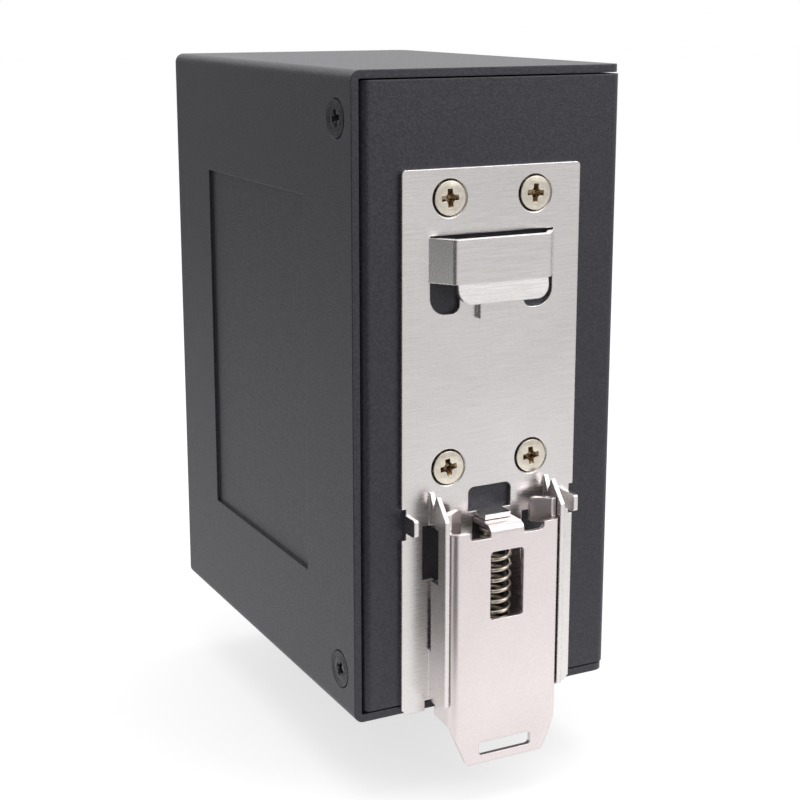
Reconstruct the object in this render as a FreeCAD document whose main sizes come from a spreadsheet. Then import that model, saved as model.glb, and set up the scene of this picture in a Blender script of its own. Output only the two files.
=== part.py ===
import FreeCAD, Part
import math
import os
import re
import Sketcher

# A slim industrial network switch in a folded sheet-metal case, with a stamped
# DIN rail clip on its rear panel. The clip's lower jaw is a sprung slide latch.
#
# Frame: +Z up, +Y out of the rear panel towards the rail, +X towards the side
# that the cover closes. The origin is the middle of the rail's seat, on the
# outer face of the clip's plate.

doc = FreeCAD.newDocument("DinRailSwitch")

# ---------------------------------------------------------------- dimensions

DIMENSIONS = (
    # The rail that the clip grips.
    ("rail_height", 35.0, "standard top-hat rail, edge to edge"),
    ("rail_flange", 1.0, "thickness of the rail's flange"),
    # The case, two folded sheets.
    ("case_width", 45.5, "outside, left to right"),
    ("case_depth", 73.0, "outside, front to rear"),
    ("case_height", 98.0, "outside, top to bottom"),
    ("case_sheet", 1.2, "steel sheet of chassis and cover"),
    ("case_seam", 0.25, "gap between cover and chassis"),
    ("case_bend", 1.5, "outer radius of the folds"),
    ("hole_play", 0.65, "screw holes in the chassis, radial"),
    ("flange_depth", 9.5, "chassis flanges behind the cover's side"),
    ("shelf_depth", 8.0, "chassis flanges under the cover's top"),
    ("rail_drop", 30.85, "rail's upper edge below the case top"),
    ("corner_round", 2.0, "cover's free corners"),
    ("recess_depth", 0.5, "label recess in the cover's side"),
    ("recess_inset", 17.0, "recess from the rear face"),
    ("recess_length", 40.3, "recess, front to rear"),
    ("recess_drop", 19.2, "recess below the case top"),
    ("recess_height", 59.6, "recess, top to bottom"),
    ("cover_screw_inset", 5.2, "cover screws from the rear face"),
    ("cover_screw_drop", 7.0, "cover screws from top and bottom"),
    ("cover_head", 5.8, "cover screw head diameter"),
    ("cover_screw_length", 5.0, "cover screw, overall"),
    ("cover_sink", 0.15, "countersinks of the cover past the heads"),
    # The clip's plate.
    ("plate_sheet", 0.75, "steel sheet of plate and latch"),
    ("plate_width", 30.2, "plate, left to right"),
    ("plate_drop", 14.25, "plate's upper edge below the case top"),
    ("plate_round", 0.7, "upper corners of the plate"),
    ("plate_chamfer", 0.8, "lower corners of the plate"),
    ("screw_spacing", 14.5, "plate screws, left to right"),
    ("screw_rise", 40.7, "plate screws, upper to lower pair"),
    ("screw_drop", 18.6, "upper plate screws below the case top"),
    ("plate_head", 5.5, "plate screw head diameter"),
    ("plate_screw_length", 5.5, "plate screw, overall"),
    ("plate_sink", 0.2, "countersinks of the plate past the heads"),
    ("plate_stand", 0.15, "plate screws proud of the plate"),
    # The fixed hook above the rail.
    ("hook_width", 21.0, "cut-out under the bridge hook"),
    ("hook_height", 6.6, "bridge hook above the rail's edge"),
    ("hook_inset", 2.3, "lean of the hook's side walls"),
    ("hook_rise", 3.4, "hook's outer face from the plate"),
    ("hook_fold", 1.1, "outer radius of the hook's folds"),
    ("hook_gap", 0.25, "slit above the hook"),
    ("lip_drop", 3.0, "hook's lip below the rail's edge"),
    ("lip_flare", 11.0, "lean of the lip, degrees"),
    ("lip_round", 2.2, "lower corners of the lip"),
    ("lip_setback", 0.5, "lip narrower than the hook, each side"),
    ("cutout_drop", 4.95, "cut-out below the rail's edge"),
    ("cutout_round", 2.7, "lower corners of the cut-out"),
    ("tongue_width", 11.0, "plate tongue behind the lip"),
    ("tongue_gap", 0.8, "tongue's upper edge below the rail's edge"),
    ("bumper_width", 5.0, "raised bumper on the tongue"),
    ("bumper_rise", 0.9, "bumper from the plate"),
    ("bumper_drop", 5.9, "bumper's lower end below the rail's edge"),
    # The window and the latch's stop tab.
    ("window_width", 7.5, "window above the stop tab"),
    ("window_height", 3.9, "window, top to bottom"),
    ("window_round", 1.0, "upper corners of the window"),
    ("stop_width", 4.6, "stop tab, left to right"),
    ("stop_reach", 2.65, "stop tab from the plate"),
    ("stop_drop", 1.0, "stop tab below the rail's lower edge"),
    # The side ears that carry the rail's lower edge.
    ("ear_height", 2.7, "side ear, top to bottom"),
    ("ear_reach", 2.7, "side ear from the plate"),
    ("ear_notch", 1.1, "notch above and below each ear"),
    ("ear_inset", 0.7, "side ears from the plate's edges"),
    ("rail_clearance", 0.1, "ears below the rail's lower edge"),
    # The guide walls for the latch.
    ("guide_gap", 19.4, "between the guide walls"),
    ("wall_reach", 5.1, "guide wall from the plate"),
    ("wall_foot", 1.2, "guide walls above the plate's lower edge"),
    ("wall_slant", 1.1, "rise of the walls' lower end"),
    ("ramp_top", 3.0, "top of the walls above the rail's lower edge"),
    ("ramp_drop", 3.3, "fall of the walls' slanted upper edge"),
    ("ramp_start", 2.2, "slanted edge's upper end from the plate"),
    ("vee_depth", 2.2, "notch behind the point of each guide wall"),
    ("vee_reach", 1.2, "that notch from the plate"),
    ("well_width", 3.9, "opening inside each guide wall"),
    ("well_drop", 2.15, "openings below the rail's lower edge"),
    ("slot_height", 8.6, "slot across the fold, top to bottom"),
    ("slot_spread", 1.2, "slot into the side strip"),
    ("slot_climb", 2.9, "slot up the guide wall"),
    ("pip_room", 2.1, "slit below the pips at full travel"),
    ("slit_climb", 0.6, "slit up the guide wall"),
    ("notch_depth", 1.7, "notch at the foot of each fold"),
    ("notch_spread", 0.7, "notch into the side strip"),
    ("notch_climb", 2.0, "notch up the guide wall"),
    # The spring and its seat.
    ("spring_diameter", 5.1, "spring, outside"),
    ("spring_wire", 0.7, "spring wire diameter"),
    ("spring_turns", 15.5, "turns of the spring"),
    ("spring_play", 0.1, "spring's end clearance"),
    ("spring_well", 6.0, "opening in the tongue behind the spring"),
    ("seat_width", 5.2, "spring seat, left to right"),
    ("seat_reach", 4.2, "spring seat from the plate"),
    ("seat_height", 4.0, "spring seat above the plate's lower edge"),
    # The sliding latch.
    ("latch_play", 0.15, "latch to guide wall, each side"),
    ("latch_face", 5.6, "latch's outer face from the plate"),
    ("latch_drop", 2.35, "latch's upper edge below the rail's edge"),
    ("latch_bend", 1.4, "outer radius of the latch's folds"),
    ("latch_overhang", 1.45, "latch's full width below the case"),
    ("relief_round", 0.8, "corners of the notches beside the shelf"),
    ("latch_taper", 6.4, "latch's tapered tip"),
    ("tip_width", 13.4, "latch's lower end"),
    ("tip_round", 1.0, "corners of the latch's tip"),
    ("pull_width", 9.3, "pull slot, left to right"),
    ("pull_height", 2.15, "pull slot, top to bottom"),
    ("pull_rise", 1.3, "pull slot above the tip"),
    ("view_width", 5.8, "latch's window, left to right"),
    ("view_height", 10.9, "latch's window, top to bottom"),
    ("view_drop", 3.5, "window below the latch's upper edge"),
    ("view_round", 0.6, "corners of that window"),
    ("relief_width", 3.6, "notch each side of the shelf"),
    ("relief_depth", 1.25, "depth of those notches"),
    ("shelf_width", 5.8, "latch's shelf for the spring"),
    ("shelf_play", 0.1, "shelf below the stop tab"),
    ("plate_play", 0.3, "shelf and flanges clear of their stops"),
    ("flange_slope", 0.65, "slant of the flanges' lower ends"),
    ("catch_rise", 0.5, "latch ears above the rail's lower edge"),
    ("catch_drop", 1.0, "latch ears below the latch's upper edge"),
    ("catch_width", 3.4, "latch ear, left to right"),
    ("catch_gap", 0.3, "latch ears from the rail's flange"),
    ("catch_round", 1.0, "upper corner of the latch ears"),
    ("pip_height", 3.0, "guide pips on the flanges, top to bottom"),
    ("pip_reach", 0.55, "pips out of the flanges"),
    ("pip_drop", 11.0, "pips below the rail's lower edge"),
    ("latch_travel", 6.0, "latch's travel"),
    # Threads and nuts.
    ("thread", 3.0, "thread diameter of the screws"),
    ("nut_diameter", 5.8, "clinch nuts, outside"),
    ("nut_height", 1.8, "clinch nuts, behind the sheet"),
    ("head_rim", 0.15, "straight rim of a countersunk head"),
    ("screw_play", 0.12, "screws clear of their holes"),
    ("cross_width", 0.85, "arms of the cross recess"),
    ("cross_span", 0.52, "cross recess, as a share of the head"),
    ("cross_depth", 1.3, "depth of the cross recess"),
    # The circuit board and what carries it.
    ("board_sheet", 1.6, "board thickness"),
    ("board_gap", 5.0, "standoff length"),
    ("pillar_floor", 1.0, "solid foot of the standoffs"),
    ("screw_floor", 0.5, "board screws above that foot"),
    ("board_margin", 3.0, "board clear of top, bottom and rear"),
    ("standoff_diameter", 5.5, "standoffs, across"),
    ("standoff_inset", 5.0, "standoffs from the board's edges"),
    ("board_gap_side", 1.0, "board screws clear of their neighbours"),
    ("board_head", 5.4, "board screw head diameter"),
    ("board_head_height", 1.6, "board screw head height"),
    # The ganged network jacks.
    ("port_pitch", 14.4, "jacks, one above the other"),
    ("column_pitch", 13.0, "between the two columns"),
    ("port_columns", 2, "columns of jacks"),
    ("port_width", 11.8, "jack opening, across the plug"),
    ("port_height", 8.0, "jack opening, with the plug's clip"),
    ("port_depth", 14.0, "depth of the jack openings"),
    ("jack_depth", 25.0, "ganged jack, front to rear"),
    ("jack_lift", 1.0, "housing above the board"),
    ("jack_foot", 3.0, "ganged jack above the board's lower edge"),
    ("peg_inset", 1.0, "housing's pegs from its edges"),
    ("peg_depth", 3.0, "pegs, front to rear"),
    ("peg_length", 4.0, "pegs, top to bottom"),
    ("jack_proud", 0.6, "jacks out of the front panel"),
    ("shield_sheet", 0.3, "jack shield"),
    ("panel_play", 0.3, "front panel clear of what it lets through"),
    ("contact_width", 0.45, "jack contacts, across"),
    ("contact_pitch", 1.0, "between jack contacts"),
    ("contact_count", 8, "contacts in a jack"),
    ("contact_length", 8.4, "jack contacts, front to rear"),
    # The pluggable power terminal.
    ("pole_pitch", 3.81, "terminal poles"),
    ("pole_count", 6, "terminal poles"),
    ("header_height", 8.6, "terminal header above the board"),
    ("header_depth", 12.0, "terminal header, front to rear"),
    ("header_wall", 1.0, "terminal header walls"),
    ("header_gap", 3.5, "between jacks and terminal"),
    ("plug_play", 0.15, "plug clear of the header"),
    ("plug_depth", 15.0, "plug, front to rear"),
    ("plug_insert", 8.0, "plug inside the header"),
    ("wire_width", 2.4, "wire entries of the plug"),
    ("wire_depth", 6.0, "depth of the wire entries"),
    ("clamp_screw", 2.4, "clamp screw head diameter"),
    ("clamp_depth", 2.4, "clamp screw length"),
    # The indicator light guides.
    ("guide_width", 2.0, "light guide, across"),
    ("guide_height", 3.0, "light guide, top to bottom"),
    ("guide_pitch", 7.0, "between light guides"),
    ("guide_play", 0.1, "openings round the light guides, each side"),
    ("guide_proud", 0.3, "light guides out of the front"),
    ("bar_gap", 1.0, "guides' bar behind the terminal"),
    ("bar_depth", 2.0, "guides' bar, front to rear"),
    # Parts soldered to the board.
    ("chip_size", 14.0, "switch chip, across"),
    ("chip_height", 1.4, "switch chip height"),
    ("chip_drop", 5.6, "chip below the middle of the board"),
    ("sink_height", 9.0, "heat sink height"),
    ("sink_base", 1.8, "heat sink base"),
    ("fin_count", 7, "heat sink fins"),
    ("fin_sheet", 0.9, "heat sink fins"),
    ("module_gap", 4.0, "magnetics behind the jacks"),
    ("magnetics_width", 7.0, "magnetics module, front to rear"),
    ("magnetics_length", 12.4, "magnetics module, top to bottom"),
    ("magnetics_height", 5.6, "magnetics module height"),
    ("capacitor_diameter", 8.0, "electrolytic capacitors"),
    ("capacitor_height", 10.0, "electrolytic capacitors"),
    ("capacitor_inset", 20.8, "rear capacitor from the board's rear edge"),
    ("capacitor_pitch", 10.4, "between the capacitors"),
    ("capacitor_rise", 9.8, "capacitors above the inductor"),
    ("inductor_size", 9.0, "power inductor, across"),
    ("inductor_height", 4.5, "power inductor height"),
    ("inductor_inset", 9.6, "inductor from the board's rear edge"),
    ("inductor_rise", 7.35, "inductor above the chip"),
    ("crystal_gap", 3.0, "crystal below the chip"),
    ("crystal_length", 10.0, "clock crystal can"),
    ("crystal_width", 4.0, "clock crystal can"),
    ("crystal_height", 3.4, "clock crystal can"),
    ("crystal_round", 1.8, "corners of the can"),
)

# Places worked out from the dimensions, by the faces that several pieces share.
PLACES = (
    ("rail_top", "rail_height / 2"),
    ("rail_foot", "-rail_height / 2"),
    ("rear_face", "-plate_sheet"),
    ("front_face", "rear_face - case_depth"),
    ("case_top", "rail_top + rail_drop"),
    ("case_foot", "case_top - case_height"),
    ("near_side", "case_width / 2"),
    ("far_side", "-case_width / 2"),
    ("flange_side", "near_side - case_sheet - case_seam"),
    ("chassis_top", "case_top - case_sheet - case_seam"),
    ("chassis_foot", "case_foot + case_sheet + case_seam"),
    ("rear_inside", "rear_face - case_sheet"),
    ("front_inside", "front_face + case_sheet"),
    ("far_inside", "far_side + case_sheet"),
    ("plate_top", "case_top - plate_drop"),
    ("upper_screws", "case_top - screw_drop"),
    ("lower_screws", "upper_screws - screw_rise"),
    ("stop_top", "rail_foot - stop_drop"),
    ("stop_foot", "stop_top - plate_sheet"),
    ("well_top", "rail_foot - well_drop"),
    ("shelf_top", "stop_foot - shelf_play"),
    ("shelf_foot", "shelf_top - plate_sheet"),
    ("slit_foot", "rail_foot - pip_drop - pip_height - latch_travel - pip_room"),
    ("seat_top", "case_foot + seat_height"),
    ("latch_half", "guide_gap / 2 - latch_play"),
    ("latch_top", "rail_foot - latch_drop"),
    ("latch_knee", "case_foot - latch_overhang"),
    ("latch_tip", "latch_knee - latch_taper"),
    ("latch_back", "latch_face - plate_sheet"),
    ("board_back", "far_inside + board_gap"),
    ("board_face", "board_back + board_sheet"),
    ("board_top", "chassis_top - board_margin"),
    ("board_foot", "chassis_foot + board_margin"),
    ("board_rear", "rear_inside - board_margin"),
    ("board_front", "front_inside + panel_play"),
    ("stack_room", "board_top - board_foot - jack_foot - header_gap"),
    ("header_span", "pole_pitch * pole_count + 2 * header_wall"),
    ("port_rows", "floor((stack_room - header_span) / port_pitch)"),
    ("guide_rows", "floor((header_span - 2 * header_wall) / guide_pitch)"),
    ("jack_front", "front_face - jack_proud"),
    ("jack_foot_z", "board_foot + jack_foot"),
    ("jack_top_z", "jack_foot_z + port_pitch * port_rows"),
    ("jack_near", "board_face + jack_lift + column_pitch * port_columns"),
    ("header_foot", "jack_top_z + header_gap"),
    ("header_top", "header_foot + header_span"),
    ("header_front", "front_face - jack_proud"),
    ("header_near", "board_face + header_height"),
    ("plug_rear", "header_front + plug_insert"),
    ("plug_front", "plug_rear - plug_depth"),
)

FIRST_ROW = 2
SHEET_OF = {}


def bound(text):
    """Turn plain size names into references to the sheet that holds each one."""
    def reference(word):
        sheet = SHEET_OF.get(word.group(0))
        return f"{sheet}.{word.group(0)}" if sheet else word.group(0)
    return re.sub(r"[a-z_]+", reference, text)


def fill_sheet(name, rows):
    """Make a sheet with one named cell for each row."""
    sheet = doc.addObject("Spreadsheet::Sheet", name)
    for row, (alias, content, note) in enumerate(rows, start=FIRST_ROW):
        sheet.set(f"A{row}", alias)
        sheet.set(f"B{row}", content)
        sheet.set(f"C{row}", note)
        sheet.setAlias(f"B{row}", alias)
        SHEET_OF[alias] = name
    doc.recompute()
    return sheet


dims = fill_sheet("dims", [(alias, str(size), note) for alias, size, note in DIMENSIONS])
for alias, formula in PLACES:
    SHEET_OF[alias] = "places"
fill_sheet("places", [(alias, "=" + bound(formula), "") for alias, formula in PLACES])


def value(text):
    """The present value of an expression over the named sizes, in mm."""
    result = dims.evalExpression(bound(str(text)))
    return float(getattr(result, "Value", result))


# ------------------------------------------------------------ building tools

# A sketch on the XZ plane looks along -Y, so its places count backwards.
BACKWARD_PLANES = ("XZ_Plane",)
# How far a cutting tool runs past the material that it cuts.
PAST = "1"


def new_body(name):
    return doc.addObject("PartDesign::Body", name)


def origin_plane(body, role):
    return next(item for item in body.Origin.OriginFeatures if item.Role == role)


def add_loop(sketch, points):
    """Add one closed outline whose corners stand at named places."""
    spots = [FreeCAD.Vector(value(across), value(up), 0) for across, up in points]
    first = sketch.GeometryCount
    last = first + len(spots) - 1
    for index, spot in enumerate(spots):
        following = spots[(index + 1) % len(spots)]
        sketch.addGeometry(Part.LineSegment(spot, following), False)
    for line in range(first, last + 1):
        after = first if line == last else line + 1
        sketch.addConstraint(Sketcher.Constraint("Coincident", line, 2, after, 1))
    for line, (across, up) in zip(range(first, last + 1), points):
        for kind, text in (("DistanceX", across), ("DistanceY", up)):
            index = sketch.addConstraint(Sketcher.Constraint(kind, line, 1, value(text)))
            sketch.setExpression(f"Constraints[{index}]", bound(text))


def add_circle(sketch, across, up, radius):
    """Add one circle with a named centre and radius."""
    centre = FreeCAD.Vector(value(across), value(up), 0)
    axis = FreeCAD.Vector(0, 0, 1)
    circle = sketch.addGeometry(Part.Circle(centre, axis, value(radius)), False)
    for kind, text in (("DistanceX", across), ("DistanceY", up)):
        index = sketch.addConstraint(Sketcher.Constraint(kind, circle, 3, value(text)))
        sketch.setExpression(f"Constraints[{index}]", bound(text))
    index = sketch.addConstraint(Sketcher.Constraint("Radius", circle, value(radius)))
    sketch.setExpression(f"Constraints[{index}]", bound(radius))


def new_sketch(body, name, plane, offset, loops=(), circles=()):
    sketch = body.newObject("Sketcher::SketchObject", name + "_sketch")
    sketch.AttachmentSupport = [(origin_plane(body, plane), "")]
    sketch.MapMode = "FlatFace"
    sketch.setExpression("AttachmentOffset.Base.z", bound(offset))
    for points in loops:
        add_loop(sketch, points)
    for across, up, radius in circles:
        add_circle(sketch, across, up, radius)
    return sketch


def pad(body, name, plane, low, high, loops=(), circles=()):
    """Add material between two places on the plane's normal axis."""
    offset = f"-({high})" if plane in BACKWARD_PLANES else low
    feature = body.newObject("PartDesign::Pad", name)
    feature.Profile = new_sketch(body, name, plane, offset, loops, circles)
    feature.setExpression("Length", bound(f"({high}) - ({low})"))
    body.Tip = feature
    doc.recompute()
    return feature


def pocket(body, name, plane, low, high, loops=(), circles=()):
    """Cut material away between two places on the plane's normal axis."""
    before = body.Shape.Volume
    offset = f"-({low})" if plane in BACKWARD_PLANES else high
    feature = body.newObject("PartDesign::Pocket", name)
    feature.Profile = new_sketch(body, name, plane, offset, loops, circles)
    feature.setExpression("Length", bound(f"({high}) - ({low})"))
    body.Tip = feature
    doc.recompute()
    if body.Shape.Volume >= before:
        raise RuntimeError(f"{name} cuts nothing")
    return feature


def box_loop(across, up):
    """A rectangle between two places on each axis of a sketch."""
    (left, right), (low, high) = across, up
    return [(left, low), (right, low), (right, high), (left, high)]


def sided(side, low, high):
    """The same span on the +X side, or mirrored to the -X side."""
    return (low, high) if side > 0 else (f"-({high})", f"-({low})")


def edges_along(shape, axis, places):
    """Names of the straight edges along an axis that stand at the given places."""
    others = [index for index in range(3) if index != axis]
    spots = [(value(first), value(second)) for first, second in places]
    found = []
    for number, edge in enumerate(shape.Edges, start=1):
        start = edge.Vertexes[0].Point
        end = edge.Vertexes[-1].Point
        if abs(start[axis] - end[axis]) < 1e-3:
            continue
        if max(abs(start[index] - end[index]) for index in others) > 1e-3:
            continue
        here = [start[index] for index in others]
        if any(math.dist(here, spot) < 2e-3 for spot in spots):
            found.append(f"Edge{number}")
    return found


def round_edges(body, name, axis, places, radius):
    """Round the edges along an axis at the given places."""
    base = body.Tip
    names = edges_along(base.Shape, axis, places)
    if not names:
        raise RuntimeError(f"{name} finds no edge")
    feature = body.newObject("PartDesign::Fillet", name)
    feature.Base = (base, names)
    feature.setExpression("Radius", bound(radius))
    body.Tip = feature
    doc.recompute()
    return feature


def block(name, x, y, z):
    """A box between two named places on each axis."""
    solid = doc.addObject("Part::Box", name)
    spans = (("Length", "x", x), ("Width", "y", y), ("Height", "z", z))
    for size, axis, (low, high) in spans:
        solid.setExpression(size, bound(f"({high}) - ({low})"))
        solid.setExpression(f"Placement.Base.{axis}", bound(low))
    return solid


ROTATION = {
    "x": FreeCAD.Rotation(FreeCAD.Vector(0, 1, 0), 90),
    "y": FreeCAD.Rotation(FreeCAD.Vector(1, 0, 0), -90),
    "z": FreeCAD.Rotation(),
}


def place_round(solid, axis, base):
    solid.Placement = FreeCAD.Placement(FreeCAD.Vector(), ROTATION[axis])
    for name, text in zip("xyz", base):
        solid.setExpression(f"Placement.Base.{name}", bound(text))
    return solid


def rod(name, axis, base, radius, length):
    """A cylinder that starts at base and runs up its axis."""
    solid = doc.addObject("Part::Cylinder", name)
    solid.setExpression("Radius", bound(radius))
    solid.setExpression("Height", bound(length))
    return place_round(solid, axis, base)


def cone(name, axis, base, start_radius, end_radius, length):
    """A cone that starts at base and runs up its axis."""
    solid = doc.addObject("Part::Cone", name)
    solid.setExpression("Radius1", bound(start_radius))
    solid.setExpression("Radius2", bound(end_radius))
    solid.setExpression("Height", bound(length))
    return place_round(solid, axis, base)


def hexagon(name, axis, base, radius, length):
    """A hexagonal bar that starts at base and runs up its axis."""
    solid = doc.addObject("Part::Prism", name)
    solid.Polygon = 6
    solid.setExpression("Circumradius", bound(radius))
    solid.setExpression("Height", bound(length))
    return place_round(solid, axis, base)


def fuse(name, parts):
    result = doc.addObject("Part::MultiFuse", name)
    result.Shapes = parts
    return result


def cut(name, base, tools):
    result = doc.addObject("Part::Cut", name)
    result.Base = base
    result.Tool = tools[0] if len(tools) == 1 else fuse(name + "_tools", tools)
    return result


def group(name, parts):
    result = doc.addObject("Part::Compound", name)
    result.Links = parts
    return result


def copies(name, form, placements):
    """A group of equal pieces, each a separate solid at its own place."""
    doc.recompute()
    shapes = []
    for placement in placements:
        shape = form.Shape.copy()
        shape.Placement = placement.multiply(shape.Placement)
        shapes.append(shape)
    result = doc.addObject("Part::Feature", name)
    result.Shape = Part.makeCompound(shapes)
    result.Placement = FreeCAD.Placement()
    return result


NODES = []


def node(label, piece):
    """Name a finished piece."""
    piece.Label = label
    NODES.append(piece)
    return piece


# ------------------------------------------------------------------- screws

def screw_form(name, head, length, head_depth):
    """A screw along Z, its head's top at Z = 0: a turned body with a cross recess."""
    body = new_body(name)
    outline = [
        ("0", "0"),
        (f"{head} / 2", "0"),
        (f"{head} / 2", "-head_rim"),
        ("thread / 2 - screw_play", f"-head_rim - ({head_depth})"),
        ("thread / 2 - screw_play", f"-({length})"),
        ("0", f"-({length})"),
    ]
    turned = body.newObject("PartDesign::Revolution", name + "_turned")
    turned.Profile = new_sketch(body, name, "XZ_Plane", "0", [outline])
    turned.ReferenceAxis = (turned.Profile[0], ["V_Axis"])
    turned.Angle = 360
    body.Tip = turned
    doc.recompute()
    arm = f"{head} * cross_span / 2"
    half = "cross_width / 2"
    cross = [
        (half, half), (arm, half), (arm, f"-{half}"), (half, f"-{half}"),
        (half, f"-({arm})"), (f"-{half}", f"-({arm})"), (f"-{half}", f"-{half}"),
        (f"-({arm})", f"-{half}"), (f"-({arm})", half), (f"-{half}", half),
        (f"-{half}", arm), (half, arm),
    ]
    pocket(body, name + "_cross", "XY_Plane", "-cross_depth", "0", [cross])
    return body


def turned_to(axis, x, y, z):
    """A placement that turns a screw's head towards +X or +Y at a named spot."""
    spot = FreeCAD.Vector(value(x), value(y), value(z))
    return FreeCAD.Placement(spot, ROTATION[axis])


PLATE_SCREWS = [
    (across, height)
    for height in ("upper_screws", "lower_screws")
    for across in ("-screw_spacing / 2", "screw_spacing / 2")
]
COVER_SCREWS = ("case_top - cover_screw_drop", "case_foot + cover_screw_drop")
COVER_SCREW_Y = "rear_face - cover_screw_inset"

# Flat-head screws are countersunk at ninety degrees: depth equals the step in radius.
plate_cone = "plate_head / 2 - thread / 2 + screw_play"
plate_screw = screw_form("plate_screw", "plate_head", "plate_screw_length", plate_cone)
node("plate_screws", copies(
    "plate_screw_group", plate_screw,
    [turned_to("y", across, "plate_stand", height) for across, height in PLATE_SCREWS]))

cover_cone = "cover_head / 2 - thread / 2 + screw_play"
cover_screw = screw_form("cover_screw", "cover_head", "cover_screw_length", cover_cone)
node("cover_screws", copies(
    "cover_screw_group", cover_screw,
    [turned_to("x", "near_side", COVER_SCREW_Y, height) for height in COVER_SCREWS]))

# ------------------------------------------------------------------ chassis
# Front, far side and rear panel folded from one sheet, with a flange at each
# end of the fold behind the cover's side, and shelves under top and bottom.

chassis = new_body("chassis_sheet")
pad(chassis, "folded_wrap", "XY_Plane", "chassis_foot", "chassis_top", [[
    ("flange_side", "rear_face - flange_depth"),
    ("flange_side", "rear_face"),
    ("far_side", "rear_face"),
    ("far_side", "front_face"),
    ("flange_side", "front_face"),
    ("flange_side", "front_face + flange_depth"),
    ("flange_side - case_sheet", "front_face + flange_depth"),
    ("flange_side - case_sheet", "front_inside"),
    ("far_inside", "front_inside"),
    ("far_inside", "rear_inside"),
    ("flange_side - case_sheet", "rear_inside"),
    ("flange_side - case_sheet", "rear_face - flange_depth"),
]])
round_edges(chassis, "outer_folds", 2, [
    ("flange_side", "rear_face"), ("far_side", "rear_face"),
    ("far_side", "front_face"), ("flange_side", "front_face")], "case_bend")
round_edges(chassis, "inner_folds", 2, [
    ("flange_side - case_sheet", "rear_inside"), ("far_inside", "rear_inside"),
    ("far_inside", "front_inside"), ("flange_side - case_sheet", "front_inside")],
    "case_bend - case_sheet")
for where, low, high in (
        ("upper", "chassis_top - case_sheet", "chassis_top"),
        ("lower", "chassis_foot", "chassis_foot + case_sheet")):
    pad(chassis, where + "_shelf", "XY_Plane", low, high, [box_loop(
        ("far_side + case_sheet / 2", "far_inside + shelf_depth"),
        ("front_inside + case_bend", "rear_inside - case_bend"))])

# The rear panel takes the clip's screws, the flange takes the cover's.
pocket(chassis, "plate_screw_holes", "XZ_Plane", "rear_inside", "rear_face", circles=[
    (across, height, "thread / 2 + hole_play") for across, height in PLATE_SCREWS])
pocket(chassis, "cover_screw_holes", "YZ_Plane", "flange_side - case_sheet", "flange_side",
       circles=[(COVER_SCREW_Y, height, "thread / 2 + hole_play") for height in COVER_SCREWS])

# The front panel lets the jacks, the terminal and the light guides through.
GUIDE_COLUMNS = ("header_near + guide_pitch", "header_near + 2 * guide_pitch")
GUIDE_SPOTS = [
    (across, f"header_foot + header_wall + guide_pitch * ({row} + 0.5)")
    for across in GUIDE_COLUMNS
    for row in range(round(value("guide_rows")))
]
pocket(chassis, "front_openings", "XZ_Plane", "front_face", "front_inside", [
    box_loop(("board_face + jack_lift - shield_sheet - panel_play",
              "jack_near + shield_sheet + panel_play"),
             ("jack_foot_z - shield_sheet - panel_play",
              "jack_top_z + shield_sheet + panel_play")),
    box_loop(("board_face - panel_play", "header_near + panel_play"),
             ("header_foot - panel_play", "header_top + panel_play")),
] + [
    box_loop((f"{across} - guide_width / 2 - guide_play", f"{across} + guide_width / 2 + guide_play"),
             (f"{up} - guide_height / 2 - guide_play", f"{up} + guide_height / 2 + guide_play"))
    for across, up in GUIDE_SPOTS])
node("chassis", chassis)

# -------------------------------------------------------------------- cover
# Top, near side and bottom folded from one sheet, with a shallow recess
# embossed in the side. It slides over the chassis and closes flush with it.

cover = new_body("cover_sheet")
pad(cover, "folded_channel", "XZ_Plane", "front_face", "rear_face", [[
    ("near_side", "case_foot"),
    ("near_side", "case_top"),
    ("far_side", "case_top"),
    ("far_side", "case_top - case_sheet"),
    ("near_side - case_sheet", "case_top - case_sheet"),
    ("near_side - case_sheet", "case_foot + case_sheet"),
    ("far_side", "case_foot + case_sheet"),
    ("far_side", "case_foot"),
]])
round_edges(cover, "cover_folds", 1, [
    ("near_side", "case_foot"), ("near_side", "case_top")], "case_bend")
round_edges(cover, "cover_inner_folds", 1, [
    ("near_side - case_sheet", "case_foot + case_sheet"),
    ("near_side - case_sheet", "case_top - case_sheet")], "case_bend - case_sheet")
round_edges(cover, "free_corners", 2, [
    ("far_side", "rear_face"), ("far_side", "front_face")], "corner_round")
recess = box_loop(
    ("rear_face - recess_inset - recess_length", "rear_face - recess_inset"),
    ("case_top - recess_drop - recess_height", "case_top - recess_drop"))
recess_back = box_loop(
    ("rear_face - recess_inset - recess_length - recess_depth",
     "rear_face - recess_inset + recess_depth"),
    ("case_top - recess_drop - recess_height - recess_depth",
     "case_top - recess_drop + recess_depth"))
pad(cover, "recess_back", "YZ_Plane", "near_side - case_sheet - recess_depth",
    "near_side - case_sheet", [recess_back])
pocket(cover, "label_recess", "YZ_Plane", "near_side - recess_depth", "near_side", [recess])
pocket(cover, "cover_holes", "YZ_Plane", "near_side - case_sheet", "near_side",
       circles=[(COVER_SCREW_Y, height, "thread / 2 + screw_play") for height in COVER_SCREWS])
cover_seats = [
    cone(f"cover_seat_{index}", "x",
         (f"near_side - ({cover_cone}) - cover_sink", COVER_SCREW_Y, height),
         "thread / 2", "cover_head / 2 + cover_sink", f"{cover_cone} + cover_sink")
    for index, height in enumerate(COVER_SCREWS)]
node("cover", cut("cover_drilled", cover, cover_seats))

# ---------------------------------------------------------------- DIN plate
# One stamping: a flat plate with a bridge hook lanced out above, and below
# it a stop tab, two side ears, two guide walls and a spring seat.

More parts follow.
